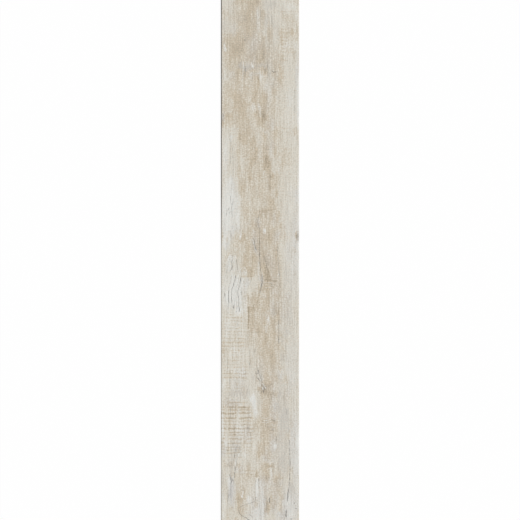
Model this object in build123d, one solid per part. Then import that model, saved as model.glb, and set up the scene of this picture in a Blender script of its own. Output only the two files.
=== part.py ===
from build123d import *
import os

# A glue-down vinyl plank, lying face up: one hot-pressed sheet of printed vinyl, punched to size.
# Millimetres. X runs across the plank, +Y along the grain and +Z up through the thickness.
# The origin is the centre of the glued back.

# The board
plank_length = 1200.0
plank_width = 180.0
plank_thickness = 2.5

# The micro-bevel pressed into both long edges of the walking face; the ends are cut square
bevel_width = 1.8
bevel_depth = 0.45
shoulder_radius = 2.0  # the wear layer rolls over into the bevel, with no sharp line
lip_radius = 0.15  # the worn corner between the bevel and the cut side

# The arris that the punch leaves round the back
back_arris = 0.2


def cross_section():
    """The plank cut across: a flat back, upright sides, and a rounded micro-bevel down each long edge."""
    side = plank_width / 2
    shoulder = side - bevel_width
    bevel_foot = plank_thickness - bevel_depth
    outline = Polyline(
        (-side, 0),
        (-side, bevel_foot),
        (-shoulder, plank_thickness),
        (shoulder, plank_thickness),
        (side, bevel_foot),
        (side, 0),
        close=True,
    )
    section = make_face(outline)
    section = fillet(section.vertices().group_by(Axis.Y)[-1], shoulder_radius)
    return fillet(section.vertices().group_by(Axis.Y)[1], lip_radius)


def plank():
    """The section drawn out along the grain, with the arris eased all round the back."""
    board = extrude(Plane.XZ * cross_section(), plank_length / 2, both=True)
    back_edges = board.edges().group_by(Axis.Z)[0]
    return chamfer(back_edges, back_arris)


os.makedirs("parts", exist_ok=True)
export_step(plank(), "parts/plank.step")
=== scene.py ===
import math

import bmesh
import bpy
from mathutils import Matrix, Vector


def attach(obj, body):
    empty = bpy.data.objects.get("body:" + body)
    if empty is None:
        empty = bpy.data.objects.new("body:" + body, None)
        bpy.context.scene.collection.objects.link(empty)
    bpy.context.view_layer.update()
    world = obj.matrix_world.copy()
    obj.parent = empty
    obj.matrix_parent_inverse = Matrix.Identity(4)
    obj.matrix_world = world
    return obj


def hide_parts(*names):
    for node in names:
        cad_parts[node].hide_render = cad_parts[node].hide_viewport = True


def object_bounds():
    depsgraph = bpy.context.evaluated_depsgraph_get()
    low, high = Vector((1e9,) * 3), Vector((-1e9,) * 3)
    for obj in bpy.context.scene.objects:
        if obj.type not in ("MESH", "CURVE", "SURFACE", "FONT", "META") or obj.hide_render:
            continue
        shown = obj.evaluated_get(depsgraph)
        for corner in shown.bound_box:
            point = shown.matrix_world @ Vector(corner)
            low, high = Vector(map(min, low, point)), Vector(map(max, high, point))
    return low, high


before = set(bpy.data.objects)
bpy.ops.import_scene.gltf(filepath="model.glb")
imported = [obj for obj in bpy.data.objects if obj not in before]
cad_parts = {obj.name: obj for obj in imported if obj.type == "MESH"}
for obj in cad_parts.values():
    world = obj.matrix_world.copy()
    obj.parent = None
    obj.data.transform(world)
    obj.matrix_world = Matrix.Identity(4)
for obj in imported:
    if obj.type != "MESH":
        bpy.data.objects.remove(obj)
cad_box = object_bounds()

# The sheet of vinyl
# The plank is one piece: printed film, clear wear layer and filled vinyl back are hot-pressed together.
# The press rolls a micro-bevel down both long edges of the face, and a punch cuts the plank to size.
# Its own size comes from the CAD model, and all sizes are in metres.
half_width, half_length, thickness = cad_box[1]
bevel_width = 0.0018
bevel_depth = 0.00045
bevel_foot = thickness - bevel_depth
shoulder_round = 0.0002  # how far from the shoulder the face starts to roll into the bevel
lip_round = 0.00006  # the same at the worn corner over the cut side
back_arris = 0.0002
# The face is divided finely enough to take the relief, a point for each 0.8 mm across and 3 mm along
columns = 220
rows = 396

sheet = bmesh.new()
outline = [
    (-half_width, 0),
    (half_width, 0),
    (half_width, bevel_foot),
    (half_width - bevel_width, thickness),
    (bevel_width - half_width, thickness),
    (-half_width, bevel_foot),
]
corners = [sheet.verts.new((x, -half_length, z)) for x, z in outline]
sheet.faces.new(corners)
shoulders = [corners[3], corners[4]]
lips = [corners[2], corners[5]]
for pair, roundness, steps in ((shoulders, shoulder_round, 3), (lips, lip_round, 1)):
    bmesh.ops.bevel(
        sheet,
        geom=pair,
        offset=roundness,
        affect="VERTICES",
        segments=steps,
        profile=0.5,
        material=-1,
    )
# The line across the face is divided, and the whole outline is drawn out along the grain and divided too
upper_edges = [edge for edge in sheet.edges if edge.verts[0].co.z > bevel_foot]
face_line = max(upper_edges, key=lambda edge: edge.calc_length())
bmesh.ops.subdivide_edges(sheet, edges=[face_line], cuts=columns - 1)
pressed = bmesh.ops.extrude_face_region(sheet, geom=sheet.faces[:])
far_end = [part for part in pressed["geom"] if isinstance(part, bmesh.types.BMVert)]
bmesh.ops.translate(sheet, verts=far_end, vec=(0, 2 * half_length, 0))
lengthwise = [edge for edge in sheet.edges if edge.calc_length() > half_length]
bmesh.ops.subdivide_edges(sheet, edges=lengthwise, cuts=rows - 1)
bmesh.ops.recalc_face_normals(sheet, faces=sheet.faces[:])
square_corner = 1.0  # radians; the rim of the back turns by more than this
back_rim = [
    edge
    for edge in sheet.edges
    if all(vert.co.z < back_arris for vert in edge.verts) and edge.calc_face_angle() > square_corner
]
bmesh.ops.bevel(
    sheet,
    geom=back_rim,
    offset=back_arris,
    affect="EDGES",
    segments=1,
    profile=0.5,
    material=-1,
)

# The bake map gives the face most of the picture, and narrow strips to the back, the sides and the ends
face_strip = (0.010, 0.690)
back_strip = (0.710, 0.890)
side_strips = {-1: (0.902, 0.924), 1: (0.932, 0.954)}
end_strips = {-1: (0.962, 0.974), 1: (0.982, 0.994)}
strip_ends = (0.010, 0.990)
facing = 0.6  # a normal with a larger part than this along an axis faces that way


def along(low, high, share):
    """The value that lies the given share of the way from low to high."""
    return low + (high - low) * share


bake_map = sheet.loops.layers.uv.new("OFBake")
for face in sheet.faces:
    sideways = abs(face.normal.x) > facing
    endways = abs(face.normal.y) > facing
    side = 1 if face.normal.x + face.normal.y > 0 else -1
    for loop in face.loops:
        x, y, z = loop.vert.co
        across = (x + half_width) / (2 * half_width)
        length_share = (y + half_length) / (2 * half_length)
        if sideways:
            u = along(*side_strips[side], z / thickness)
            v = length_share
        elif endways:
            u = along(*end_strips[side], z / thickness)
            v = across
        else:
            u = along(*(face_strip if face.normal.z > 0 else back_strip), across)
            v = length_share
        loop[bake_map].uv = (u, along(*strip_ends, v))

soft_corner = 0.5  # radians; faces that turn by less than this are shaded as one
for face in sheet.faces:
    face.smooth = True
for edge in sheet.edges:
    edge.smooth = edge.calc_face_angle() < soft_corner

plank_mesh = bpy.data.meshes.new("embossed_plank")
sheet.to_mesh(plank_mesh)
sheet.free()
plank = bpy.data.objects.new("embossed_plank", plank_mesh)
bpy.context.collection.objects.link(plank)


class Field:
    """A value or vector that varies over the plank: a node's output, on which arithmetic adds Math nodes."""

    def __init__(self, tree, output=None):
        self.tree = tree
        self.output = output

    def node(self, kind, settings, inputs, output=0):
        """A new node: its settings first, then its sockets, from values or from links."""
        node = self.tree.nodes.new(kind)
        for name, setting in settings.items():
            setattr(node, name, setting)
        sockets = {socket.name: socket for socket in node.inputs}
        sockets.update({socket.identifier: socket for socket in node.inputs})
        for name, value in inputs.items():
            if isinstance(value, Field):
                self.tree.links.new(value.output, sockets[name])
            else:
                sockets[name].default_value = value
        return Field(self.tree, node.outputs[output] if node.outputs else None)

    def math(self, operation, first, second):
        return self.node("ShaderNodeMath", {"operation": operation}, {"Value": first, "Value_001": second})

    def __add__(self, other):
        return self.math("ADD", self, other)

    __radd__ = __add__

    def __sub__(self, other):
        return self.math("SUBTRACT", self, other)

    def __rsub__(self, other):
        return self.math("SUBTRACT", other, self)

    def __mul__(self, other):
        return self.math("MULTIPLY", self, other)

    __rmul__ = __mul__

    def __abs__(self):
        return self.math("ABSOLUTE", self, 0.0)


def rise(value, start, end, height=1.0):
    """0 before start, rising smoothly to height at end; start may be the larger one."""
    return value.node(
        "ShaderNodeMapRange",
        {"interpolation_type": "SMOOTHSTEP", "clamp": False},
        {"Value": value, "From Min": start, "From Max": end, "To Max": height},
    )


def vector_math(operation, vector, *others, output=0):
    """One Vector Math node on a vector and what goes with it."""
    inputs = {"Vector": vector}
    for name, other in zip(("Vector_001", "Vector_002"), others):
        inputs[name] = other
    return vector.node("ShaderNodeVectorMath", {"operation": operation}, inputs, output)


def scaled(vector, amount):
    """A vector or colour times a value."""
    return amount.node("ShaderNodeVectorMath", {"operation": "SCALE"}, {"Vector": vector, "Scale": amount})


def part_of(vector, axis):
    """One part of a vector: X across the plank, Y along it or Z upwards."""
    return vector.node("ShaderNodeSeparateXYZ", {}, {"Vector": vector}, axis)


noise_middle = 0.5  # noise runs from 0 to 1 round this


def noise(place, across, lengthwise, detail=2.0, seed=0.0, output=0):
    """Noise whose spots are about so many millimetres across and lengthwise."""
    stretched = vector_math("MULTIPLY_ADD", place, (1 / across, 1 / lengthwise, 0), (seed, seed, 0))
    return stretched.node(
        "ShaderNodeTexNoise",
        {"noise_dimensions": "2D"},
        {"Vector": stretched, "Scale": 1.0, "Detail": detail},
        output,
    )


def drift(place, across, lengthwise, shift_x, shift_y, seed):
    """The place shoved by noise, up to half of each shift either way, which makes an outline ragged."""
    shove = noise(place, across, lengthwise, seed=seed, output="Color")
    centred = vector_math("SUBTRACT", shove, (noise_middle, noise_middle, noise_middle))
    return vector_math("MULTIPLY_ADD", centred, (shift_x, shift_y, 0), place)


rows_in_group = 15  # how many rows one node group draws


def in_groups(place, name, draw, rows):
    """What draw makes of these rows at this place, added up over node groups of a few rows each."""
    total = 0.0
    for start in range(0, len(rows), rows_in_group):
        group = bpy.data.node_groups.new(name, place.tree.bl_idname)
        group.interface.new_socket("place", in_out="INPUT", socket_type="NodeSocketVector")
        group.interface.new_socket("amount", in_out="OUTPUT", socket_type="NodeSocketFloat")
        inside = Field(group)
        amount = draw(inside.node("NodeGroupInput", {}, {}), rows[start:start + rows_in_group])
        inside.node("NodeGroupOutput", {}, {"amount": amount})
        kind = place.tree.bl_idname.replace("NodeTree", "NodeGroup")
        total = place.node(kind, {"node_tree": group}, {"place": place}) + total
    return total


def patches(place, spots, soft=1.3, firm=0.35):
    """Oval spots added up, each full at firm times its half size and faded to nothing at soft times."""
    total = 0.0
    for x, y, half_x, half_y, strength in spots:
        stretch = (1 / half_x, 1 / half_y, 0)
        centre = (-x / half_x, -y / half_y, 0)
        round_spot = vector_math("MULTIPLY_ADD", place, stretch, centre)
        reach = vector_math("LENGTH", round_spot, output="Value")
        total = rise(reach, soft, firm, strength) + total
    return total


def by_strength(groups):
    """Spots that are listed under their strength, as rows that end with it."""
    return [(*spot, strength) for strength, spots in groups.items() for spot in spots]


# The film is printed with sawn pine under worn whitewash. Places are millimetres from the middle of the
# face. A spot is given as x, y, half width, half length and strength.
# Bare wood, where the whitewash is worn through
bare_wood = by_strength({
    0.1: [
        (-60, 422, 12, 26), (-13, 404, 8, 34), (36, 300, 14, 14), (62, 235, 20, 44),
        (40, 60, 10, 30), (-4, -190, 14, 12), (50, -502, 14, 12), (46, -585, 11, 14),
    ],
    0.12: [(-38, 318, 12, 16)],
    0.15: [
        (-50, 382, 12, 20), (-62, 340, 10, 20), (82, 186, 8, 20), (8, 45, 14, 9), (8, -182, 12, 14),
        (5, -328, 7, 10), (13, -342, 9, 14), (-4, -372, 10, 12), (28, -428, 7, 20),
        (-12, -448, 5, 14),
    ],
    0.2: [
        (76, 547, 9, 8), (-60, 524, 8, 12), (-10, 516, 7, 12), (20, 500, 4, 60), (-8, 488, 9, 24),
        (-50, 432, 6, 24), (-76, 390, 8, 26), (28, 345, 10, 12), (-84, 343, 9, 28),
        (68, 332, 9, 10), (0, 326, 12, 12), (-28, 316, 5, 22), (39, 188, 3, 26), (-12, 86, 9, 11),
        (28, 32, 9, 12), (11, 12, 6, 11), (-14, -8, 9, 7), (-15, -92, 13, 14), (26, -128, 6, 12),
        (-20, -170, 10, 26), (-30, -192, 5, 14), (36, -310, 14, 7), (26, -322, 16, 7),
        (-10, -385, 8, 14), (-24, -392, 6, 12), (38, -396, 8, 14), (14, -575, 14, 10),
        (-44, -597, 24, 4),
    ],
    0.25: [
        (84, 592, 8, 10), (-48, 560, 12, 22), (64, 560, 18, 9), (-42, 546, 8, 8),
        (-32, 508, 12, 12), (-60, 480, 10, 12), (6, 462, 8, 12), (38, 243, 12, 8), (54, 236, 7, 34),
        (62, 221, 24, 2.5), (-50, 198, 7, 10), (-30, 4, 10, 14), (-82, -10, 4, 20),
        (32, -10, 7, 14), (35, -30, 8, 12), (-50, -58, 12, 8), (32, -82, 7, 8), (-4, -140, 6, 26),
        (-60, -146, 8, 10), (14, -196, 12, 12), (24, -206, 14, 22), (-60, -222, 12, 18),
        (14, -232, 8, 18), (0, -246, 12, 16), (28, -275, 8, 12), (68, -320, 7, 8),
        (44, -340, 10, 14), (42, -368, 9, 9), (5, -370, 12, 11), (60, -406, 14, 16),
        (58, -415, 12, 12), (-28, -484, 7, 16), (44, -486, 9, 18), (41, -522, 6, 12),
        (33, -556, 14, 26), (30, -560, 12, 12),
    ],
    0.28: [(-62, 470, 24, 18)],
    0.3: [
        (-36, 598, 9, 12), (72, 594, 18, 8), (-8, 592, 18, 12), (-38, 568, 6, 20),
        (-84, 566, 5, 14), (-66, 556, 8, 12), (-14, 540, 6, 10), (-10, 540, 4, 18),
        (-24, 518, 12, 16), (-54, 510, 8, 8), (-84, 495, 6, 7), (70, 490, 6, 8), (66, 486, 7, 12),
        (-42, 482, 8, 8), (-46, 436, 7, 16), (52, 422, 8, 12), (-10, 412, 6, 14),
        (-56, 372, 14, 10), (-10, 346, 7, 14), (-70, 314, 12, 12), (-47, 294, 7, 16),
        (8, 284, 7, 10), (-50, 278, 6, 12), (-38, 270, 8, 10), (10, 268, 9, 12), (-40, 244, 18, 14),
        (14, 244, 10, 14), (-50, 232, 5, 8), (-17, 219, 7, 12), (-1, 194, 8, 10), (-22, 190, 6, 8),
        (20, 190, 6, 8), (-22, 184, 6, 20), (38, 118, 5, 8), (38, 85, 6, 12), (54, 76, 8, 12),
        (30, 68, 8, 10), (-42, 60, 12, 6), (6, 60, 8, 20), (-58, 38, 6, 10), (-60, 12, 14, 14),
        (20, -12, 8, 8), (14, -90, 14, 14), (48, -106, 6, 10), (60, -122, 8, 16), (20, -140, 5, 34),
        (72, -152, 14, 10), (56, -176, 10, 10), (60, -188, 10, 8), (-85, -205, 5, 14),
        (52, -210, 12, 16), (44, -236, 6, 18), (60, -310, 12, 18), (42, -316, 7, 7),
        (-74, -331, 16, 8), (38, -370, 5, 34), (13, -398, 13, 34), (10, -402, 7, 7),
        (20, -430, 7, 14), (-46, -480, 8, 12), (-6, -490, 8, 12), (84, -498, 7, 10),
        (36, -512, 14, 16), (36, -535, 6, 11), (-45, -548, 8, 8), (54, -585, 8, 14),
        (-56, -596, 8, 8),
    ],
    0.35: [
        (-14, 578, 7, 14), (-76, 568, 5, 9), (74, 520, 6, 8), (-50, 519, 13, 13), (62, 519, 22, 3),
        (-22, 468, 14, 10), (50, 463, 8, 11), (34, 452, 6, 14), (-70, 446, 10, 12),
        (42, 434, 12, 22), (48, 403, 9, 8), (-11, 382, 9, 18), (32, 366, 7, 10), (-28, 358, 10, 8),
        (-54, 352, 8, 9), (2, 316, 10, 12), (-25, 296, 6, 12), (83, 292, 8, 14), (-36, 288, 14, 22),
        (-22, 242, 5, 22), (28, 185, 7, 9), (-38, 165, 6, 34), (20, 140, 6, 18), (46, 78, 6, 8),
        (55, 55, 8, 12), (24, 54, 12, 13), (24, 42, 8, 7), (80, 22, 10, 10), (4, -20, 5, 22),
        (62, -85, 9, 22), (-6, -162, 13, 9), (10, -216, 18, 3), (-20, -232, 6, 16),
        (30, -236, 8, 30), (36, -272, 9, 12), (-8, -275, 10, 8), (-52, -344, 14, 6),
        (30, -350, 6, 18), (72, -372, 8, 18), (34, -376, 6, 10), (-70, -378, 6, 28),
        (66, -405, 6, 12), (-60, -412, 8, 18), (3, -444, 9, 7), (-2, -460, 7, 14), (2, -503, 12, 6),
        (12, -533, 6, 11), (48, -538, 6, 16), (52, -546, 6, 10), (10, -580, 6, 12),
    ],
    0.4: [
        (-12, 562, 5, 22), (48, 526, 6, 9), (1, 518, 6, 9), (-40, 500, 8, 14), (50, 440, 7, 14),
        (-32, 430, 10, 10), (11, 412, 5, 12), (-60, 382, 12, 18), (-10, 336, 7, 12),
        (19, 326, 4, 10), (16, 302, 8, 8), (36, 288, 8, 20), (28, 268, 9, 14), (-51, 252, 4, 12),
        (14, 214, 6, 8), (-48, 208, 5, 34), (32, 172, 10, 10), (0, 98, 8, 9), (86, 64, 5, 6),
        (-52, 47, 12, 4), (8, -8, 4, 20), (-14, -14, 8, 22), (24, -54, 10, 7), (6, -66, 14, 8),
        (40, -85, 8, 9), (18, -107, 7, 9), (36, -112, 4, 20), (8, -115, 6, 7), (42, -137, 10, 9),
        (42, -194, 8, 12), (48, -248, 7, 10), (58, -275, 12, 10), (14, -276, 9, 18),
        (8, -284, 8, 8), (-26, -342, 6, 8), (-22, -368, 10, 8), (28, -372, 8, 10),
        (30, -408, 10, 8), (-3, -446, 4, 8), (20, -451, 12, 7), (70, -484, 9, 12), (5, -494, 3, 7),
        (-62, -498, 8, 8), (-32, -500, 26, 3), (30, -526, 5, 7), (-40, -532, 9, 12),
        (-38, -546, 7, 6), (-69, -573, 5, 8),
    ],
    0.45: [
        (-22, 584, 9, 32), (5, 536, 6, 14), (75, 527, 6, 7), (-54, 492, 16, 14), (34, 388, 9, 16),
        (-40, 342, 10, 19), (-6, 341, 5, 9), (-83, 312, 9, 9), (72, 294, 16, 5), (-17, 271, 9, 17),
        (-32, 112, 9, 27), (-27, 30, 6, 16), (38, 12, 3, 36), (-33, -6, 12, 13), (17, -18, 8, 30),
        (-40, -62, 6, 22), (29, -146, 8, 11), (30, -168, 7, 30), (-70, -262, 7, 9),
        (-33, -412, 6, 14),
    ],
    0.5: [
        (-50, 595, 14, 12), (8, 562, 9, 16), (-29, 548, 9, 30), (-72, 510, 16, 9), (50, 504, 5, 12),
        (6, 500, 8, 12), (10, 451, 7, 5), (-14, 440, 14, 8), (-32, 437, 12, 5), (32, 427, 5, 12),
        (-12, 424, 6, 14), (-36, 361, 5, 4), (2, 361, 6, 8), (20, 312, 7, 14), (12, 284, 7, 8),
        (33, 257, 7, 15), (-46, 168, 7, 20), (14, 104, 5, 6), (27, 99, 6, 12), (-8, 31, 13, 10),
        (-14, 6, 9, 10), (-18, -140, 9, 26), (10, -142, 3, 20), (9, -264, 7, 12), (36, -308, 8, 8),
        (5, -312, 8, 10), (13, -345, 12, 36), (5, -432, 11, 20), (-68, -467, 13, 5),
        (-78, -470, 8, 8), (-68, -472, 11, 8), (28, -475, 9, 8), (10, -478, 12, 12),
        (36, -504, 6, 6), (-73, -592, 4, 9),
    ],
    0.55: [
        (-7, 460, 3, 20), (-12, 237, 6, 14), (-64, 138, 7, 14), (20, 113, 17, 7), (-32, -90, 5, 16),
        (46, -500, 6, 5), (-45, -576, 11, 13),
    ],
    0.6: [
        (-6, 597, 9, 10), (20, 521, 5, 22), (26, 518, 6, 24), (-76, 496, 12, 6), (0, 456, 5, 10),
        (-46, 451, 13, 8), (-4, 414, 4, 18), (10, 372, 8, 14), (-14, 364, 7, 8), (-50, 362, 10, 5),
        (14, 257, 10, 10), (23, 174, 4, 16), (27, 133, 7, 14), (41, 100, 7, 12), (-40, 50, 8, 13),
        (-36, -19, 11, 11), (14, -32, 9, 15), (20, -57, 16, 18), (-32, -83, 7, 9),
        (42, -171, 10, 10), (28, -391, 8, 8), (24, -476, 8, 11),
    ],
    0.65: [(11, 352, 7, 13), (-72, 8, 10, 10), (-48, -552, 8, 20), (48, -568, 6, 14)],
    0.7: [
        (3, 437, 3, 6), (44, 414, 5, 6), (-8, 252, 4, 9), (22, 212, 6, 5), (24, -288, 9, 13),
        (8, -294, 7, 9), (-50, -470, 6, 8),
    ],
    0.75: [
        (-11, 448, 8, 5), (13, 432, 7, 10), (8, 336, 7, 8), (-72, 330, 9, 9), (-82, 50, 9, 11),
        (-22, -28, 10, 14), (-36, -305, 8, 9),
    ],
    0.8: [
        (8, 478, 7, 20), (11, 327, 10, 5), (11, 212, 5, 3), (21, 203, 7, 7), (-52, -141, 7, 10),
        (27, -312, 8, 5),
    ],
    0.9: [
        (8, 512, 5, 12), (38, 151, 4, 9), (-17, -114, 13, 7), (42, -121, 4, 11), (18, -306, 9, 5),
        (-8, -494, 4, 7), (16, -497, 6, 13), (-8, -557, 8, 10), (17, -566, 6, 20),
    ],
    0.95: [(27, 193, 7, 7)],
    1: [(11, 437, 4, 9), (14, 236, 8, 7), (10, -297, 11, 14)],
    1.1: [(86, 53, 6, 9), (-1, -297, 5, 6)],
    1.2: [(18, 224, 9, 9)],
})
# Cool white paint that the scraper left behind
paint = by_strength({
    0.1: [
        (-72, 582, 14, 20), (34, 520, 6, 66), (34, 308, 14, 10), (72, 200, 16, 40),
        (38, -55, 14, 14), (-14, -62, 9, 16), (68, -150, 20, 130), (-50, -160, 20, 26),
        (-58, -222, 24, 16), (84, -540, 7, 60),
    ],
    0.12: [(66, 550, 22, 50), (-66, -124, 16, 10)],
    0.15: [
        (76, 590, 14, 12), (72, 578, 14, 12), (-80, 548, 8, 22), (60, 262, 10, 12),
        (-78, 232, 10, 20), (66, 60, 22, 110), (-42, -163, 8, 12), (4, -234, 5, 12),
    ],
    0.18: [(-54, -148, 12, 12)],
    0.2: [
        (-72, 284, 12, 14), (80, 275, 12, 26), (84, 200, 8, 20), (-84, 180, 6, 12),
        (72, 168, 18, 14), (72, 120, 12, 50), (-38, -52, 10, 14), (-33, -74, 8, 18),
        (-70, -80, 12, 14), (-72, -90, 9, 9), (-72, -186, 12, 12), (-60, -225, 28, 50),
        (16, -372, 6, 12), (-75, -470, 10, 30), (-64, -508, 10, 10), (62, -550, 10, 12),
        (-64, -565, 12, 10),
    ],
    0.22: [(-7, 562, 7, 26)],
    0.25: [
        (60, 592, 26, 10), (84, 488, 6, 16), (-84, 420, 7, 20), (72, 378, 18, 26),
        (-52, 300, 30, 6), (-50, 190, 8, 30), (-70, 182, 10, 14), (-16, 178, 16, 10),
        (-32, 86, 10, 7), (-10, -125, 6, 20), (-14, -168, 12, 16), (-60, -212, 18, 10),
        (-3, -230, 5, 12), (-76, -420, 12, 10),
    ],
    0.3: [
        (84, 560, 8, 12), (-80, 424, 10, 14), (12, 402, 8, 12), (-45, 390, 10, 14),
        (72, 340, 16, 60), (44, 208, 5, 14), (-84, 72, 5, 10), (12, 60, 8, 6), (-70, -2, 14, 26),
        (45, -30, 5, 12), (-6, -50, 5, 14), (10, -82, 8, 8), (-74, -172, 11, 15),
        (-48, -175, 9, 14), (20, -196, 8, 8), (-86, -214, 4, 12), (-46, -258, 14, 8),
        (-37, -264, 6, 14), (76, -270, 14, 14), (-70, -320, 12, 8), (-40, -325, 8, 10),
        (-45, -334, 10, 10), (-15, -395, 6, 12), (-15, -436, 6, 14), (-30, -442, 7, 16),
        (16, -553, 9, 5), (74, -590, 14, 10),
    ],
    0.35: [
        (3, 425, 6, 10), (-78, 266, 12, 26), (-14, 62, 8, 8), (78, -15, 12, 16),
        (-62, -140, 26, 22), (-76, -155, 10, 18), (-40, -208, 7, 9), (-64, -254, 14, 8),
        (-80, -412, 7, 14), (-38, -450, 7, 16), (-5, -466, 10, 8), (-75, -505, 8, 14),
    ],
    0.4: [
        (-66, 284, 4, 14), (-50, 140, 8, 20), (-84, 130, 5, 50), (-4, 92, 14, 8), (-65, 4, 10, 9),
        (88, -30, 3, 60), (-85, -70, 5, 14), (-85, -340, 3, 60), (-50, -385, 10, 20),
        (-85, -392, 5, 14), (-76, -426, 10, 9), (-18, -535, 8, 13), (-40, -570, 8, 10),
        (66, -570, 12, 26), (-2, -575, 8, 20), (-28, -598, 12, 5),
    ],
    0.45: [
        (68, 494, 20, 11), (-2, 353, 3, 11), (-15, 351, 8, 10), (-80, 225, 9, 44), (-50, 96, 6, 20),
        (-74, -46, 16, 44), (-40, -390, 8, 10), (86, -440, 5, 80), (-83, -560, 6, 18),
    ],
    0.5: [
        (-36, 447, 3, 5), (88, 110, 3, 140), (-78, 80, 9, 44), (-48, 78, 3, 12), (-4, -20, 2.5, 20),
        (-33, -100, 5, 24), (14, -156, 5, 12), (-48, -352, 4, 15), (-86, -380, 4, 40),
        (86, -420, 4, 20), (-71, -514, 4, 10), (-6, -552, 10, 8), (-84, -590, 6, 12),
        (-8, -597, 18, 6),
    ],
    0.6: [
        (8, 203, 4, 5), (-82, 44, 5, 20), (-46, -116, 12, 10), (-85, -284, 8, 12),
        (27, -490, 3, 13),
    ],
    0.65: [(-70, 150, 13, 44), (-66, 110, 20, 46), (-74, -98, 16, 24), (5, -533, 4, 12)],
    0.7: [
        (-80, 487, 5, 8), (-17, 449, 3, 7), (-71, 42, 3, 18), (-52, -78, 16, 46), (19, -137, 4, 13),
        (7, -580, 3, 20),
    ],
    0.75: [(-10, -351, 6, 10)],
    0.8: [(88, 365, 3, 80), (-45, 57, 2.5, 10), (-26, -553, 7, 7)],
    0.9: [(-13, -331, 6, 16)],
    1: [(11, 69, 4, 7), (-18, -318, 8, 14), (-7, -524, 4, 22)],
    1.3: [(34, -428, 5, 6), (-42, -538, 5, 4)],
})
# Broad zones where the whitewash is thin
thin_wash = [
    (-28, 560, 38, 84, 0.3), (70, 520, 26, 56, 0.2), (-58, 480, 38, 40, 0.34),
    (0, 470, 44, 34, 0.36), (-34, 440, 64, 190, 0.09), (-20, 400, 24, 50, 0.12),
    (-50, 380, 34, 80, 0.32), (38, 380, 20, 140, 0.18), (-84, 350, 12, 40, 0.25),
    (8, 350, 22, 60, 0.26), (-28, 295, 32, 50, 0.3), (34, 290, 30, 60, 0.05),
    (-6, 205, 44, 60, 0.4), (45, 160, 14, 80, 0.16), (-2, 130, 42, 50, 0.36), (6, 80, 36, 40, 0.26),
    (-6, 40, 50, 50, 0.44), (40, 40, 20, 50, 0.12), (16, -20, 34, 50, 0.36),
    (24, -60, 30, 40, 0.12), (40, -70, 14, 90, 0.32), (4, -125, 32, 64, 0.42),
    (52, -130, 16, 60, 0.14), (-10, -190, 30, 40, 0.14), (18, -215, 26, 60, 0.38),
    (34, -290, 20, 60, 0.22), (-66, -330, 30, 20, 0.22), (12, -380, 20, 80, 0.22),
    (-10, -420, 24, 60, 0.12), (30, -440, 22, 60, 0.22), (28, -520, 30, 50, 0.25),
    (-40, -530, 40, 70, 0.22),
]
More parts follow.
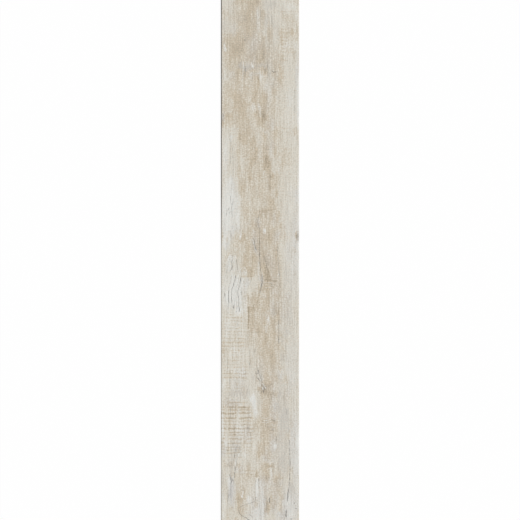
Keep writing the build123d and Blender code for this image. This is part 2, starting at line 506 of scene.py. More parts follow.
# Where it has a cool light tint
cool_light = by_strength({
    0.12: [(-20, 490, 40, 50)],
    0.22: [(0, -400, 84, 240)],
    0.25: [(-66, 145, 9, 44), (56, -80, 14, 22)],
    0.3: [
        (-6, 580, 6, 26), (48, 574, 12, 10), (-40, 522, 14, 10), (84, 420, 8, 30), (38, 374, 9, 8),
        (20, 340, 10, 40), (-26, 308, 12, 12), (-4, 236, 8, 16), (64, 20, 14, 30), (14, 10, 14, 20),
        (74, 10, 18, 90), (48, -148, 18, 16), (28, -150, 8, 10), (-60, -340, 18, 12),
        (20, -460, 14, 12), (-72, -470, 12, 10), (86, -555, 8, 24),
    ],
    0.35: [
        (-4, 556, 10, 30), (-2, 345, 10, 14), (21, 180, 6, 44), (-42, 178, 6, 12),
        (30, 108, 10, 12), (60, 78, 12, 16), (30, -6, 22, 14), (80, -50, 14, 60),
        (-48, -52, 14, 18), (24, -112, 10, 20), (-56, -430, 14, 20), (14, -445, 9, 20),
    ],
    0.4: [
        (0, 498, 14, 14), (-12, 490, 10, 14), (-40, 452, 12, 8), (50, 450, 6, 20),
        (20, 400, 14, 40), (12, 352, 8, 18), (12, 290, 8, 10), (12, 260, 8, 12), (22, 250, 12, 24),
        (-58, 160, 12, 40), (-8, 158, 8, 12), (78, 152, 16, 12), (12, 106, 14, 10),
        (34, 40, 12, 30), (-6, 20, 9, 16), (0, -4, 12, 8), (22, -18, 9, 12), (-60, -20, 12, 9),
        (6, -55, 10, 20), (14, -126, 8, 10), (50, -132, 9, 9), (78, -150, 12, 12),
        (45, -240, 8, 14), (64, -310, 8, 18), (-26, -358, 6, 18), (20, -384, 6, 8),
        (-60, -400, 14, 40), (-40, -400, 14, 24), (-26, -405, 8, 30), (-83, -436, 8, 24),
        (-48, -478, 8, 12), (-45, -485, 14, 10), (46, -512, 10, 12), (30, -530, 8, 18),
        (-60, -560, 8, 8), (12, -582, 9, 8),
    ],
    0.45: [
        (4, 524, 7, 14), (-62, 425, 16, 14), (34, 92, 18, 12), (0, 55, 20, 40), (76, -240, 22, 90),
        (-56, -284, 26, 18),
    ],
    0.5: [
        (-60, 594, 14, 8), (-42, 555, 14, 15), (-28, 508, 10, 12), (-20, 470, 16, 28),
        (-8, 425, 8, 8), (86, 400, 6, 110), (-84, 338, 8, 12), (86, 150, 6, 24), (-6, 84, 8, 14),
        (40, 58, 10, 12), (-12, 40, 8, 30), (18, -2, 9, 20), (-38, -27, 18, 7), (-60, -74, 28, 34),
        (64, -88, 8, 12), (52, -112, 22, 22), (44, -168, 10, 12), (30, -262, 8, 30),
        (10, -295, 15, 12), (-52, -326, 9, 9), (30, -430, 8, 10), (4, -518, 9, 12),
        (84, -520, 8, 90), (30, -578, 10, 9), (-12, -590, 24, 24),
    ],
    0.55: [(0, -560, 24, 44)],
    0.6: [
        (-12, 514, 9, 20), (-16, 426, 24, 9), (24, 310, 14, 18), (-66, 175, 7, 14),
        (84, 70, 12, 90), (2, -40, 8, 16), (-27, -52, 8, 8), (34, -60, 14, 60), (30, -124, 9, 14),
        (-40, -258, 14, 12), (46, -266, 9, 12), (26, -292, 6, 10), (30, -340, 8, 60),
        (28, -420, 9, 30), (-84, -443, 8, 10), (12, -506, 20, 12), (38, -518, 12, 12),
        (14, -528, 7, 8), (-86, -540, 5, 16), (37, -542, 8, 16),
    ],
    0.65: [(-64, 60, 7, 18)],
    0.7: [(-78, 110, 14, 70), (-60, 74, 22, 12), (46, -588, 12, 14)],
    0.75: [(-36, -56, 11, 16)],
    0.8: [(30, 268, 7, 12), (-15, -556, 7, 8)],
    0.85: [(-80, 34, 10, 11), (80, -420, 14, 90)],
    0.9: [(-66, -530, 11, 42), (33, -560, 9, 14), (66, -570, 20, 50)],
    1.2: [(-68, -328, 16, 8)],
})
# Where weather left it grey
weathered = [
    (24, 590, 26, 14, 0.45), (12, 556, 12, 22, 0.2), (-72, 552, 20, 60, 0.22),
    (-84, 540, 8, 12, 0.35), (-60, 530, 8, 18, 0.3), (-25, 500, 60, 100, 0.18),
    (26, 500, 22, 120, 0.28), (-84, 494, 8, 8, 0.35), (70, 456, 14, 34, 0.15),
    (20, 452, 20, 16, 0.1), (-48, 449, 9, 7, 0.6), (-5, 446, 24, 6, 0.5), (-32, 441, 13, 8, 0.8),
    (40, 400, 12, 50, 0.2), (-86, 328, 5, 13, 0.7), (26, 268, 14, 30, 0.25), (-66, 138, 8, 13, 1),
    (62, 100, 22, 110, 0.15), (60, -40, 7, 32, 0.3), (85, -82, 5, 20, 0.4), (62, -90, 24, 110, 0.2),
    (68, -130, 12, 26, 0.4), (62, -168, 12, 12, 0.5), (50, -185, 9, 12, 0.4),
    (51, -220, 8, 10, 0.5), (2, -262, 14, 34, 0.45), (-16, -268, 6, 8, 0.3),
    (-14, -276, 7, 10, 0.4), (72, -280, 9, 9, 0.3), (-50, -304, 42, 14, 0.35),
    (-46, -308, 22, 6, 0.6), (45, -313, 8, 8, 0.5), (-62, -318, 26, 12, 0.1),
    (50, -330, 22, 70, 0.45), (40, -338, 9, 12, 0.4), (60, -350, 7, 9, 0.8),
    (62, -366, 18, 12, 0.3), (-28, -388, 9, 12, 0.4), (64, -388, 6, 8, 0.4),
    (55, -400, 22, 50, 0.35), (-56, -440, 22, 26, 0.35), (46, -455, 26, 60, 0.4),
    (-66, -470, 20, 20, 0.4), (60, -470, 22, 28, 0.25), (-86, -505, 4, 22, 0.6),
    (-68, -508, 5, 9, 0.6), (-66, -524, 7, 20, 0.8), (73, -524, 7, 16, 0.5), (-68, -545, 6, 11, 1),
    (62, -550, 24, 60, 0.3), (0, -560, 20, 46, 0.3), (50, -588, 14, 14, 0.3),
]
# Small dark knots and spots
knots = [
    (-35, 506, 3, 4, 0.6), (8, -296, 5, 7, 0.3), (24, -308, 7, 5, 0.4), (87, 53, 5, 13, 0.6),
    (14, 228, 7, 9, 0.25), (8, 474, 5, 12, 0.25), (9, 334, 7, 8, 0.35), (79, -560, 1.6, 2.4, 0.9),
    (83, -572, 3, 1.6, 0.8), (72, -596, 4, 3, 0.6), (-28, -387, 3, 3, 0.6), (-35, -379, 2, 2, 0.6),
    (34, -370, 3, 4, 0.6), (29, -390, 4, 3, 0.6), (10, -457, 6, 2, 0.5), (-12, -208, 3, 5, 0.3),
    (-70, -540, 3, 6, 0.35), (-69, -528, 2, 3, 0.4),
]
# Brown grain torn open: a half width in millimetres, a strength, and the places it runs through
torn_grain = [
    (1.8, 0.6, [(10, 10), (14, -8), (17, -22), (23, -40)]), (1.8, 0.9, [(9, -45), (38, -48)]),
    (1.6, 0.7, [(-1, -76), (-5, -90), (-8, -107)]), (1.6, 0.5, [(-30, 232), (-6, 233)]),
    (2, 0.6, [(-2, 112), (14, 114), (33, 117)]),
    (1.4, 0.5, [(-6, 428), (-2, 406), (-6, 390), (-12, 378)]),
    (1.8, 1.3, [(-26, -108), (-27, -158)]), (1.4, 0.5, [(-27, -82), (-28, -116)]),
    (1.4, 0.6, [(-43, -38), (-14, -38)]), (1.4, 0.6, [(-30, -108), (-4, -110)]),
    (1.4, 0.4, [(20, -80), (20, -108)]), (1.2, 0.5, [(-1, 60), (-1, 10)]),
    (1.6, 0.5, [(-4, 100), (-8, 76), (1, 64)]), (1.4, 0.5, [(23, -360), (34, -376)]),
    (1.2, 0.6, [(22, -383), (36, -386)]), (1.2, 0.6, [(20, -391), (34, -394)]),
    (1.2, 0.5, [(20, -399), (34, -402)]), (1.6, 0.5, [(10, -8), (12, -34)]),
    (1.2, 0.5, [(-28, -166), (6, -167)]), (1.2, 0.5, [(70, 494), (82, 495)]),
    (1.2, 0.5, [(72, 478), (84, 479)]), (1.2, 0.4, [(48, 256), (80, 255)]),
    (1.2, 0.4, [(50, 304), (84, 303)]), (1.2, 0.5, [(46, 572), (88, 572)]),
    (1.2, 0.5, [(-86, 519), (-42, 520)]), (1.6, 0.8, [(24, -367), (34, -370)]),
    (1.2, 0.7, [(22, -376), (30, -375)]), (1.2, 0.5, [(-44, -440), (-10, -441)]),
    (1.2, 0.5, [(-50, -484), (-12, -486)]), (1.2, 0.5, [(-52, -492), (-14, -494)]),
]
# Short ones beside each other across the grain
for torn_y in (-87, -92, -97, -102):
    torn_grain.append((1.0, 0.4, [(-26, torn_y), (0, torn_y)]))
for torn_y in (532, 525, 513, 505, 496, 488, 480, 470, 461):
    torn_grain.append((1.2, 0.6, [(49, torn_y), (62, torn_y - 1)]))
# Cracks and dark grain lines, given in the same way
cracks = [
    (0.9, 0.9, [
        (0, 112), (-3, 101), (-5, 88), (-3, 78), (0, 68), (-1, 58), (-1, 30), (-1, 0), (1, -24), (4, -38),
    ]),
    (1.7, 0.9, [(4, -36), (5, -50), (3, -62), (-1, -76)]),
    (0.8, 0.7, [(10, 6), (13, -8), (15, -16), (19, -24), (22, -38)]),
    (0.8, 0.5, [(12, -45), (30, -47)]), (0.7, 0.4, [(32, -47), (42, -51)]),
    (0.8, 0.55, [(-7, -233), (-7, -250), (-2, -264), (5, -279), (9, -291), (11, -300)]),
    (0.8, 0.7, [(-9, -268), (2, -280)]), (0.8, 0.7, [(0, -258), (6, -276)]),
    (0.9, 1, [(-16, 51), (-13, 42)]), (0.9, 1, [(-14, 41), (-9, 30)]),
    (0.9, 1, [(-11, 28), (-6, 17)]), (0.7, 0.8, [(-18, 46), (-14, 30), (-9, 15)]),
    (0.6, 0.5, [(-19, 63), (-20, 54)]), (0.8, 0.75, [(80, 396), (80, 338)]),
    (1.1, 1, [(28, 434), (33, 432), (39, 433)]), (0.7, 0.6, [(25, 438), (29, 435)]),
    (0.8, 0.5, [(-34, 441), (-12, 444), (13, 446)]), (0.8, 0.75, [(17, 458), (17, 418)]),
    (0.7, 0.6, [(20, 452), (20, 424)]), (0.6, 0.5, [(-38, 442), (-39, 410)]),
    (0.7, 0.8, [(-18, 442), (-18, 412)]), (0.9, 0.9, [(-34, 446), (-35, 424)]),
    (0.6, 0.4, [(30, 600), (31, 530)]), (0.6, 0.4, [(31, 410), (31, 330)]),
    (0.8, 0.9, [(41, 30), (41, 0), (43, -20), (45, -44), (46, -66)]),
    (0.6, 0.5, [(45, -88), (43, -106)]), (0.9, 1, [(43, -138), (43, -192)]),
    (0.8, 0.6, [(-27, -82), (-28, -118)]), (1.2, 0.45, [(-27, -112), (-27, -156)]),
    (0.8, 0.6, [(-27, -152), (-25, -170), (-28, -182), (-27, -205)]),
    (0.8, 0.8, [(-24, -205), (-24, -250)]),
    (0.8, 1, [(-61, 10), (-66, -5), (-63, -15), (-69, -27)]),
    (0.8, 0.85, [(-56, -36), (-61, -56), (-66, -74), (-65, -90), (-62, -110)]),
    (0.8, 0.95, [(-54, 0), (-52, -15), (-50, -27)]),
    (0.7, 0.65, [(-43, -41), (-47, -56), (-52, -74), (-49, -90), (-48, -118)]),
    (0.8, 0.7, [(-70, 3), (-74, -15), (-77, -27)]), (0.6, 0.6, [(-60, -80), (-60, -112)]),
    (0.6, 0.6, [(-49, -78), (-48, -118)]), (0.6, 0.5, [(-66, -80), (-66, -122)]),
    (0.8, 0.65, [(-65, -36), (-68, -56), (-72, -74), (-72, -96)]),
    (0.7, 0.5, [(-75, -38), (-77, -54), (-82, -72), (-79, -98)]),
    (0.5, 0.5, [(-54, -80), (-54, -122)]), (0.8, 0.6, [(-18, -40), (-25, -56), (-31, -74)]),
    (0.6, 0.5, [(-20, -48), (-27, -64)]), (0.6, 0.5, [(-14, -50), (-20, -66)]),
    (0.5, 0.5, [(-66, 180), (-65, 104)]), (0.6, 0.5, [(-58, 186), (-59, 62)]),
    (0.5, 0.4, [(-72, 130), (-72, 60)]), (0.5, 0.4, [(-77, 150), (-77, 84)]),
    (1, 0.6, [(-66, 60), (-66, 46)]), (0.6, 0.5, [(-11, -142), (-14, -176), (-16, -214)]),
    (0.8, 0.7, [(-75, -222), (-75, -252)]), (0.8, 0.7, [(-70, -270), (-70, -292)]),
    (0.9, 0.9, [(-69, -335), (-68, -350), (-69, -368)]),
    (0.9, 0.7, [(-55, -428), (-57, -444), (-60, -458), (-62, -468)]),
    (0.7, 0.6, [(-46, -430), (-50, -446)]), (1, 1.2, [(-57, -476), (-59, -501)]),
    (0.6, 0.5, [(-59, -501), (-58, -538)]),
    (0.9, 1.15, [(68, -415), (69, -470), (68, -506), (66, -524), (64, -540)]),
    (1.1, 1.1, [(64, -536), (63, -555)]),
    (0.9, 0.7, [(-20, -559), (-30, -562), (-40, -565), (-49, -571)]),
    (0.9, 1.05, [(-49, -571), (-50, -576), (-48, -582), (-42, -589), (-34, -593), (-24, -599)]),
    (1.1, 0.8, [(-31, -563), (-25, -560)]), (1.1, 1.3, [(22, -547), (22, -559)]),
    (0.7, 0.6, [(6, -566), (6, -590)]), (0.8, 0.8, [(-26, -584), (-17, -592)]),
    (1.8, 1.1, [(60, -577), (60, -592)]), (1.6, 0.6, [(60, -343), (61, -356)]),
    (0.6, 0.5, [(54, -304), (55, -345)]), (0.7, 0.6, [(-66, 120), (-70, 104), (-69, 92)]),
    (0.7, 0.6, [(-63, 88), (-64, 72)]), (0.7, 0.6, [(-46, 82), (-47, 64)]),
    (0.8, 0.7, [(-68, 66), (-68, 50)]), (0.7, 0.5, [(-76, 40), (-77, 12)]),
    (0.8, 0.7, [(-57, 22), (-55, 8)]), (0.9, 0.8, [(-86, 338), (-84, 330)]),
    (0.9, 0.8, [(-85, 326), (-87, 318)]), (0.9, 0.6, [(-13, 246), (-10, 232), (-12, 220)]),
    (0.8, 0.7, [(-13, -248), (-9, -262), (-2, -278), (4, -290)]),
    (0.8, 0.7, [(-5, -252), (0, -266), (6, -284)]), (0.7, 0.6, [(-11, -262), (-3, -260)]),
    (1, 1, [(9, -299), (8, -306)]), (0.9, 0.8, [(4, -284), (3, -290)]),
    (0.9, 0.7, [(-1, -298), (-4, -304)]), (0.8, 0.7, [(-46, -520), (-38, -524)]),
    (0.8, 0.7, [(-44, -529), (-37, -531)]), (0.8, 0.6, [(-3, -506), (-6, -514), (-2, -522)]),
    (0.8, 0.6, [(8, -504), (11, -514)]), (0.8, 0.6, [(-62, -420), (-66, -436), (-66, -452)]),
    (0.8, 0.6, [(-74, -418), (-75, -440)]), (0.7, 0.6, [(14, -548), (14, -590)]),
    (0.7, 0.6, [(2, -560), (2, -598)]), (0.7, 0.5, [(-12, -570), (-12, -598)]),
    (0.7, 0.6, [(-22, -396), (-24, -424)]), (0.7, 0.5, [(-16, -372), (-18, -398)]),
    (0.7, 0.7, [(-3, -502), (-4, -530)]), (0.7, 0.6, [(-11, -505), (-10, -540)]),
    (0.7, 0.6, [(-10, -204), (-18, -222), (-24, -240)]),
    (0.7, 0.6, [(-57, -34), (-58, -50), (-63, -70), (-61, -96)]),
    (0.7, 0.6, [(-37, -46), (-42, -62), (-45, -84)]),
    (0.7, 0.5, [(-30, -44), (-36, -60), (-40, -78)]), (0.7, 0.5, [(-25, -42), (-30, -56)]),
    (0.9, 0.8, [(-9, -546), (-13, -556), (-20, -559)]), (0.7, 0.6, [(9, -545), (9, -592)]),
    (0.7, 0.7, [(-66, 8), (-62, -6), (-66, -20)]), (0.7, 0.6, [(-68, 148), (-68, 126)]),
    (0.7, 0.6, [(-62, 146), (-63, 128)]), (0.8, 0.9, [(-12, 46), (-14, 36), (-9, 24)]),
    (0.8, 0.5, [(-11, 106), (-12, 92), (-9, 80)]), (0.8, 0.5, [(-8, 98), (-6, 84), (-4, 72)]),
    (0.8, 0.6, [(-10, -240), (-4, -254), (-8, -266)]), (0.7, 0.75, [(-69, 292), (-68, 222)]),
    (0.7, 0.75, [(-63, 262), (-62, 186)]), (0.7, 0.4, [(27, 560), (28, 532)]),
    (0.7, 0.5, [(21, 520), (22, 486)]), (0.7, 0.6, [(26, 505), (27, 466)]),
    (0.7, 0.5, [(-17, 590), (-18, 540)]), (0.7, 0.5, [(-26, 574), (-25, 531)]),
    (0.8, 0.6, [(1, 577), (2, 558)]), (0.9, 0.9, [(38, -406), (38, -415)]),
]
# Light strokes of paint
light_strokes = [
    (0.9, 0.7, [(-47, -29), (-46, -22), (-40, -17), (-34, -19), (-31, -26), (-34, -33)]),
    (0.8, 0.6, [(-42, -29), (-41, -24), (-37, -23), (-36, -29)]),
    (1.2, 0.6, [(-38, 456), (-38, 440), (-40, 414)]), (1.4, 0.55, [(-19, 454), (-17, 446)]),
    (1.2, 0.7, [(-43, -438), (-50, -450), (-56, -462), (-58, -478)]),
    (1, 0.7, [(-18, 46), (-13, 34)]), (1, 0.7, [(-14, 32), (-9, 20)]),
    (1, 0.7, [(6, -284), (12, -296)]), (1.2, 1.1, [(6, -293), (7, -298)]),
    (1, 0.7, [(11, -290), (14, -296)]), (0.7, 0.6, [(10, -52), (30, -53)]),
    (0.7, 0.5, [(12, -57), (29, -58)]), (0.7, 0.5, [(10, -62), (26, -64)]),
    (0.8, 0.6, [(4, -363), (14, -365), (24, -361)]),
    (0.8, 0.6, [(3, -368), (14, -370), (26, -366)]),
    (0.8, 0.5, [(2, -373), (14, -375), (27, -371)]),
    (0.8, 0.6, [(16, -482), (26, -478), (34, -480)]),
    (1.4, 0.6, [(-64, -34), (-66, -52), (-70, -70), (-68, -96)]),
    (1.4, 0.6, [(-58, -32), (-59, -50), (-64, -68), (-60, -100)]),
    (1.4, 0.6, [(-50, -34), (-53, -54), (-58, -70), (-56, -104)]),
    (1.4, 0.6, [(-38, -42), (-42, -56), (-47, -70), (-44, -100)]),
    (1.2, 0.5, [(-57, 8), (-58, -24)]), (1.2, 0.5, [(-72, 8), (-71, -24)]),
    (1, 0.25, [(-5, -262), (0, -272)]), (1.2, 0.6, [(6, -548), (6, -590)]),
]
# Rows that the saw tore across the grain down the left side, each at y, with a half thickness and
# a strength, and the zones that they are kept to
saw_rows = [
    (-125, 1.2, 0.5), (-133, 1.4, 0.9), (-141, 1.2, 0.6), (-148, 1.1, 0.5), (-152, 1, 0.4),
    (-157, 1.2, 0.7), (-165, 1.2, 0.6), (-172, 1, 0.4), (-181, 1.3, 0.6), (-190, 1.5, 0.8),
    (-198, 1.3, 0.6), (-208, 1.2, 0.5), (-213, 1.1, 0.5), (-223, 1.2, 0.5), (-231, 1.1, 0.5),
    (-240, 1.1, 0.4), (-247, 1.3, 0.7), (-255, 1.2, 0.6), (-262, 1.5, 0.9), (-271, 1.6, 1),
    (-283, 1.1, 0.5), (-288, 1.1, 0.5), (-295, 1.3, 0.7), (-303, 1.5, 0.8), (-328, 1.6, 0.8),
    (-339, 1.8, 1.2), (-345, 1.4, 0.9), (-353, 1.8, 1.3), (-364, 1.8, 1.2), (-371, 1.1, 0.6),
    (-379, 1.2, 0.7), (-388, 1.9, 1.1), (-397, 1.5, 0.9), (-403, 1.3, 0.8), (-412, 1.5, 0.8),
    (-422, 1.5, 0.8), (-431, 1.2, 0.7), (-437, 1.2, 0.7), (-444, 1.5, 0.8), (-455, 1.1, 0.5),
]
sawn_zones = [
    (-60, -210, 38, 110, 0.85), (-56, -388, 43, 84, 1.1),
]
# Zones where fine dark grain lines show through the paint
lined_zones = [
    (-60, -62, 32, 66, 0.85), (-70, 120, 20, 76, 0.45), (66, 60, 22, 140, 0.24),
    (66, -200, 22, 160, 0.24), (20, 560, 16, 40, 0.3), (-32, 540, 52, 80, 0.3),
    (62, 440, 18, 60, 0.2), (20, 430, 20, 50, 0.35), (28, -110, 14, 60, 0.35),
    (40, -230, 20, 60, 0.2), (-68, -520, 14, 60, 0.8), (-64, -448, 26, 34, 0.4),
    (-44, -300, 36, 20, 0.4), (5, -560, 16, 44, 0.4),
]

line_edge = 1.35  # in half widths: a drawn line ends here
line_heart = 0.25  # and is at full strength here
row_edge = 1.8  # the same for a sawn row
row_heart = 0.2


def lines(place, strokes):
    """Dark lines through lists of places: the strongest line at each spot of the face."""
    strongest = 0.0
    for half_line, strength, route in strokes:
        nearest = None
        for (x, y), (next_x, next_y) in zip(route, route[1:]):
            run = (next_x - x, next_y - y, 0)
            square = run[0] ** 2 + run[1] ** 2
            start = -(x * run[0] + y * run[1]) / square
            slope = (run[0] / square, run[1] / square, 0)
            dot = vector_math("DOT_PRODUCT", place, slope, output="Value")
            share = dot.node("ShaderNodeClamp", {}, {"Value": dot + start})
            foot = vector_math("ADD", scaled(run, share), (x, y, 0))
            away = vector_math("DISTANCE", place, foot, output="Value")
            nearest = away if nearest is None else away.math("MINIMUM", away, nearest)
        line = rise(nearest, line_edge * half_line, line_heart * half_line, strength)
        strongest = line.math("MAXIMUM", line, strongest)
    return strongest


def runs_across(stroke):
    """Whether a stroke runs more than half as far across the plank as it runs along it."""
    route = stroke[2]
    sideways = sum(abs(end[0] - start[0]) for start, end in zip(route, route[1:]))
    lengthways = sum(abs(end[1] - start[1]) for start, end in zip(route, route[1:]))
    return sideways > 0.5 * lengthways


def wavered(spot):
    """The place with the slight waver that every drawn line has."""
    return drift(spot, 4.0, 9.0, 3.0, 4.0, seed=5.0)


def strokes_at(spot, name, strokes):
    """What these strokes come to at this spot."""
    return in_groups(wavered(spot), name, lines, strokes)


def across_rows(place, rows_cut):
    """Straight rows across the plank, added up."""
    lengthways = part_of(place, "Y")
    total = 0.0
    for y, half_row, strength in rows_cut:
        total = rise(abs(lengthways - y), row_edge * half_row, row_heart * half_row, strength) + total
    return total


mm_per_metre = 1000.0


def printed_place(place):
    """The place on the face in millimetres from its middle."""
    return vector_math("MULTIPLY", place, (mm_per_metre, mm_per_metre, 0))


fibre_share = 0.85
fleck_share = 0.85
tick_share = 0.4
worn_tick_share = 0.45  # added to it where the wood is bare


def grain_at(spot, worn):
    """The grain of the pine: fibres along the plank, short flecks, and ticks across the worn wood."""
    fibres = noise(spot, 3.2, 50.0, 3.0, seed=11.0) - noise_middle
    flecks = noise(spot, 2.6, 4.0, seed=23.0) - noise_middle
    ticks = noise(spot, 5.5, 2.3, seed=29.0) - noise_middle
    ticked = ticks * (rise(worn, 0.0, 0.5, worn_tick_share) + tick_share)
    return fibres * fibre_share + flecks * fleck_share + ticked


def fine_grain(spot):
    """The finest fibres of the film, well under a millimetre across."""
    return noise(spot, 0.7, 9.0, 3.0, seed=103.0) - noise_middle


def saw_marks(spot):
    """The torn rows, broken into short dashes and kept to the sawn zones, with the marks of single teeth."""
    wandering = drift(spot, 14.0, 30.0, 0.0, 5.0, seed=61.0)
    torn = in_groups(wandering, "saw_rows", across_rows, saw_rows)
    long_gaps = rise(noise(spot, 14.0, 70.0, seed=71.0), 0.28, 0.48)
    short_gaps = rise(noise(spot, 7.0, 4.0, seed=73.0), 0.22, 0.45)
    tooth_tracks = rise(noise(spot, 5.0, 46.0, 1.0, seed=77.0), 0.56, 0.66)
    tooth_bites = rise(noise(spot, 9.0, 4.0, seed=79.0), 0.35, 0.60)
    teeth = tooth_tracks * tooth_bites * 0.5
    return (torn * (long_gaps * short_gaps) + teeth) * patches(spot, sawn_zones, soft=1.1, firm=0.75)


lean_start = -24.0  # the hairlines begin to lean this far up the plank
lean_end = -74.0
lean_left = -40.0  # and lean in full from here to the left edge
lean_shift = 11.0
hairline_width = 0.045  # as a share of the noise that they follow
stray_hairlines = 0.12  # how strong they are outside the lined zones


def hairlines(spot):
    """Fine dark grain lines, which lean over to the left a little below the middle of the plank."""
    x = part_of(spot, "X")
    y = part_of(spot, "Y")
    lean = rise(y, lean_start, lean_end, lean_shift) * rise(x, 0.0, lean_left)
    leaning = spot.node("ShaderNodeCombineXYZ", {}, {"X": x + lean, "Y": y})
    wavy = drift(leaning, 12.0, 22.0, 6.0, 0.0, seed=83.0)
    from_middle = abs(noise(wavy, 7.0, 110.0, 1.0, seed=81.0) - noise_middle)
    return rise(from_middle, hairline_width, 0.0) * (stray_hairlines + patches(spot, lined_zones))


def dark_lines(spot, along_cracks):
    """The cracks, broken along their length, with knots and the fine dark grain lines."""
    broken = rise(noise(spot, 3.0, 7.0, seed=41.0), 0.08, 0.48)
    across_cracks = strokes_at(spot, "across_cracks", [crack for crack in cracks if runs_across(crack)])
    return (along_cracks + across_cracks) * broken + patches(wavered(spot), knots) + hairlines(spot)


# The press embosses the sheet in register with the print, and only downwards: fibres, torn wood, saw marks
# and cracks are sunk into the face. The relief dies out at the bevels. Depths are in metres.
fibre_depth = 0.000035
torn_depth = 0.00008
saw_depth = 0.00007
crack_depth = 0.00014
press_margin = 1.6  # millimetres inside the bevel where the relief is at full depth

emboss = bpy.data.node_groups.new("registered_emboss", "GeometryNodeTree")
for direction in ("INPUT", "OUTPUT"):
    emboss.interface.new_socket("Geometry", in_out=direction, socket_type="NodeSocketGeometry")
press = Field(emboss)
blank = press.node("NodeGroupInput", {}, {})
position = press.node("GeometryNodeInputPosition", {}, {})
spot = printed_place(position)
across = abs(part_of(spot, "X"))
flat_edge = (half_width - bevel_width - shoulder_round) * mm_per_metre
inside_bevels = rise(across, flat_edge, flat_edge - press_margin)
on_face = inside_bevels * rise(part_of(position, "Z"), bevel_foot, thickness)
ragged = drift(spot, 3.0, 26.0, 5.0, 34.0, seed=3.0)
worn_wood = in_groups(ragged, "bare_wood", patches, bare_wood)
worn_wood = worn_wood + in_groups(spot, "thin_wash", patches, thin_wash)
along_cracks = strokes_at(spot, "along_cracks", [crack for crack in cracks if not runs_across(crack)])
torn_wood = strokes_at(spot, "torn_grain", torn_grain)
sunk = rise(grain_at(spot, worn_wood), 0.5, -0.5, fibre_depth) + torn_wood * torn_depth
sunk = sunk + saw_marks(spot) * saw_depth + rise(dark_lines(spot, along_cracks), 0.0, 1.2, crack_depth)
offset = press.node("ShaderNodeCombineXYZ", {}, {"Z": sunk * on_face * -1.0})
embossed = press.node("GeometryNodeSetPosition", {}, {"Geometry": blank, "Offset": offset})

# The zones of the print and the strokes along it are stored on the mesh, where the material reads them.
# Strokes across it are finer than the mesh is lengthwise, so the material draws those itself.
along_strokes = [stroke for stroke in light_strokes if not runs_across(stroke)]
across_strokes = [stroke for stroke in light_strokes if runs_across(stroke)]
stroke_cover = 1.15  # how well a stroke of paint covers, next to a patch of it
painted_strokes = strokes_at(spot, "along_strokes", along_strokes) * stroke_cover
zones = {
    "worn_wood": worn_wood,
    "paint": in_groups(ragged, "paint", patches, paint) + painted_strokes,
    "cool_light": in_groups(ragged, "cool_light", patches, cool_light),
    "weathered": in_groups(ragged, "weathered", patches, weathered),
    "along_cracks": along_cracks,
}
for name, amount in zones.items():
    embossed = press.node(
        "GeometryNodeStoreNamedAttribute",
        {"data_type": "FLOAT", "domain": "POINT"},
        {"Geometry": embossed, "Name": name, "Value": amount},
    )
press.node("NodeGroupOutput", {}, {"Geometry": embossed})
stamp = plank.modifiers.new("registered_emboss", "NODES")
stamp.node_group = emboss
with bpy.context.temp_override(object=plank):
    bpy.ops.object.modifier_apply(modifier=stamp.name)

# Colours of the print and of the cut sides, and the painted shade on the left bevel, as sRGB shares of 255
ink = {
    "whitewash": (210, 205, 193),
    "bare wood": (193, 180, 159),
    "deep brown": (166, 153, 132),
    "cool white": (220, 219, 213),
    "weathered grey": (192, 187, 178),
    "crack": (104, 99, 94),
    # painted shade for the left bevel, which faces away from the lamp
    "bevel": (88, 83, 76),
    "film line": (128, 118, 103),
    "core": (196, 194, 189),
    "backing": (112, 111, 109),
}
cool_cast = (0.985, 1.015, 1.085)  # what the cool tint does to red, green and blue
# The ink is never quite even: specks of it are a shade cooler or warmer
cool_speck = (0.980, 1.009, 1.018, 1.0)
warm_speck = (1.020, 0.991, 0.982, 1.0)


def linear(name):
    """A colour of the ink table as Blender's linear one."""
    shares = [part / 255 for part in ink[name]]
    return [((share + 0.055) / 1.055) ** 2.4 for share in shares] + [1.0]


mixed_colour = 2  # the Mix node's output for colours


def blend(mask, below, above):
    """The colour above laid over the colour below where the mask says."""
    return mask.node(
        "ShaderNodeMix",
        {"data_type": "RGBA"},
        {"Factor_Float": mask, "A_Color": below, "B_Color": above},
        mixed_colour,
    )


vinyl = bpy.data.materials.new("whitewashed_pine_film")
vinyl.use_nodes = True
vinyl.node_tree.nodes.clear()
film = Field(vinyl.node_tree)
place = film.node("ShaderNodeTexCoord", {}, {}, "Object")
spot = printed_place(place)
stored = {name: film.node("ShaderNodeAttribute", {"attribute_name": name}, {}, "Fac") for name in zones}
grain = grain_at(spot, stored["worn_wood"])
fine = fine_grain(spot)
pores = rise(noise(spot, 0.5, 5.0, 1.0, seed=107.0), 0.60, 0.72)
clouds = noise(spot, 18.0, 50.0, 3.0, seed=31.0)
sawn = saw_marks(spot)
torn_wood = strokes_at(spot, "torn_grain", torn_grain)

# Wear takes the whitewash off to bare wood, and further wear goes on to deep brown
wear = stored["worn_wood"] + torn_wood * 0.95 + clouds * 0.6 + grain * 1.1 + sawn * 0.9 + fine * 0.9 - 0.05
bare = rise(wear, 0.10, 1.15)
deep = rise(wear, 1.00, 2.00)
cover = stored["paint"] + strokes_at(spot, "across_strokes", across_strokes) * stroke_cover - sawn * 0.3
painted = rise(cover + fine * 1.3 - grain * 0.4, 0.05, 0.95)
cooled = rise(stored["cool_light"] + grain * 0.2, 0.0, 1.0)
grey = rise(stored["weathered"] + grain * 0.4, 0.05, 0.95)
dark = rise(dark_lines(spot, stored["along_cracks"]) - fine * 1.2, 0.15, 1.45)

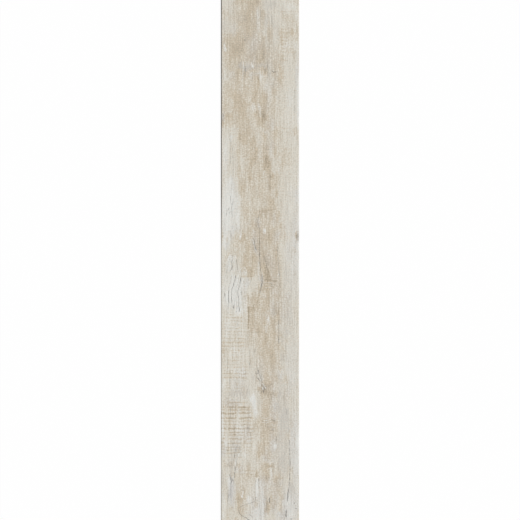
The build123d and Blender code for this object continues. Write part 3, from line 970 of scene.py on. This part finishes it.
colour = blend(bare, linear("whitewash"), linear("bare wood"))
colour = blend(deep, colour, linear("deep brown"))
colour = blend(grey * 0.8, colour, linear("weathered grey"))
colour = blend(cooled, colour, vector_math("MULTIPLY", colour, cool_cast))
colour = blend(painted, colour, linear("cool white"))
colour = blend(dark, colour, linear("crack"))
pigment = rise(noise(spot, 2.2, 3.5, seed=113.0), 0.36, 0.64)
colour = vector_math("MULTIPLY", colour, blend(pigment, cool_speck, warm_speck))
colour = scaled(colour, 1 - (grain * 0.27 + fine * 0.30 + pores * 0.07))

# The left bevel is given painted shade, the shade of a bevel turned away from the lamp, deeper up the plank.
# Places are in millimetres.
bevel_start = (bevel_width - half_width) * mm_per_metre
bevel_blur = 0.8
faint_shade_y = -20.0
full_shade_y = 170.0
bevel_shade_strength = rise(part_of(spot, "Y"), faint_shade_y, full_shade_y, 0.6) + 0.4
left_bevel_shade = rise(part_of(spot, "X"), bevel_start + bevel_blur, bevel_start) * bevel_shade_strength
colour = blend(left_bevel_shade, colour, linear("bevel"))

# The cut sides show the layers, by height: the print under the clear wear layer, the print film's own dark
# line, a light filled core and a darker backing. The back is grey, with a fine woven texture. Heights are in
# millimetres.
film_top = 2.03
core_top = 1.90
backing_top = 1.00
back_face = 0.02
height = part_of(place, "Z") * mm_per_metre
torn_height = height + noise(spot, 9.0, 9.0, seed=91.0) * 0.10


def below(height, level, blur):
    """1 below this level of the cut side and 0 above it."""
    return rise(height, level + blur, level - blur)


cut = below(torn_height, film_top, 0.03)
colour = blend(cut, colour, linear("film line"))
colour = blend(below(torn_height, core_top, 0.03), colour, linear("core"))
colour = blend(below(torn_height, backing_top, 0.05), colour, linear("backing"))
backing = below(height, back_face, 0.01)
threads = abs(noise(spot, 1.4, 40.0, 1.0, seed=95.0) - noise_middle)
weave = threads + abs(noise(spot, 40.0, 1.4, 1.0, seed=97.0) - noise_middle)
flecked = (noise(spot, 1.5, 1.5, seed=99.0) - noise_middle) * 0.5 + weave * 0.5
colour = scaled(colour, 1 - backing * flecked)

# The wear layer is matt, a little silkier over the paint and duller in the torn wood and on the cut sides
matt = 0.56
cut_matt = 0.78
finish = matt - painted * 0.07 + bare * 0.04 + grain * 0.06 + dark * 0.12
roughness = finish * (1 - cut) + cut * cut_matt
relief = (fine - pores * 0.5) * (1 - cut) + (1 - weave) * backing
bump_depth = 0.00006
surface_bump = film.node("ShaderNodeBump", {}, {"Strength": 0.6, "Distance": bump_depth, "Height": relief})
surface = film.node(
    "ShaderNodeBsdfPrincipled",
    {},
    {"Base Color": colour, "Roughness": roughness, "Normal": surface_bump},
)
film.node("ShaderNodeOutputMaterial", {}, {"Surface": surface})
plank.data.materials.append(vinyl)

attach(plank, "root")
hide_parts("plank")

# The studio
# The plank lies face up on a plain white floor, under an even sky with a soft lamp off to the right.
floor_size = 12.0
floor_gap = 0.0002  # keeps the floor clear of the plank's back
paper_white = (0.95, 0.95, 0.95, 1)
plain_white = (1, 1, 1, 1)
glow_share = 0.9  # the rest of what a ray sees of the floor is paper, which takes the plank's shadow
sky_light = 0.6
lamp_light = 1.92
lamp_softness = 0.4  # the lamp's width in the sky, in radians
lamp_tilt = math.radians(50)


def looked_at(field):
    """1 for rays that look at the studio, straight or reflected, and 0 for those that light the plank."""
    kinds = ("Camera", "Glossy", "Transmission")
    rays = [field.node("ShaderNodeLightPath", {}, {}, f"Is {kind} Ray") for kind in kinds]
    return rays[0] + rays[1] + rays[2]


bpy.ops.mesh.primitive_plane_add(size=floor_size, location=(0, 0, -floor_gap))
floor = bpy.context.object
floor.name = "studio_floor"
white = bpy.data.materials.new("floor_white")
white.use_nodes = True
white.node_tree.nodes.clear()
ground = Field(white.node_tree)
paper = ground.node("ShaderNodeBsdfDiffuse", {}, {"Color": paper_white})
glow = ground.node("ShaderNodeEmission", {}, {"Color": plain_white, "Strength": 1.0})
glowing = looked_at(ground) * glow_share
shown = ground.node("ShaderNodeMixShader", {}, {"Fac": glowing, "Shader": paper, "Shader_001": glow})
ground.node("ShaderNodeOutputMaterial", {}, {"Surface": shown})
floor.data.materials.append(white)

world = bpy.data.worlds.new("studio_sky")
bpy.context.scene.world = world
world.use_nodes = True
world.node_tree.nodes.clear()
sky = Field(world.node_tree)
lighting = sky.node("ShaderNodeBackground", {}, {"Color": plain_white, "Strength": sky_light})
backdrop = sky.node("ShaderNodeBackground", {}, {"Color": plain_white, "Strength": 1.0})
seen = looked_at(sky)
air = sky.node("ShaderNodeMixShader", {}, {"Fac": seen, "Shader": lighting, "Shader_001": backdrop})
sky.node("ShaderNodeOutputWorld", {}, {"Surface": air})

lamp_data = bpy.data.lights.new("right_lamp", "SUN")
lamp_data.energy = lamp_light
lamp_data.angle = lamp_softness
lamp = bpy.data.objects.new("right_lamp", lamp_data)
lamp.rotation_euler = (0, lamp_tilt, 0)
bpy.context.collection.objects.link(lamp)

# The camera looks straight down, and the plank's length just fills the frame
view_length = 1.197
camera_data = bpy.data.cameras.new("overhead_camera")
camera_data.lens = 85.0
camera_data.clip_end = 50.0
half_angle = math.atan(camera_data.sensor_width / (2 * camera_data.lens))
camera = bpy.data.objects.new("overhead_camera", camera_data)
camera.location = (0, 0, thickness + view_length / (2 * math.tan(half_angle)))
bpy.context.collection.objects.link(camera)
bpy.context.scene.camera = camera
bpy.context.scene.view_settings.view_transform = "Standard"
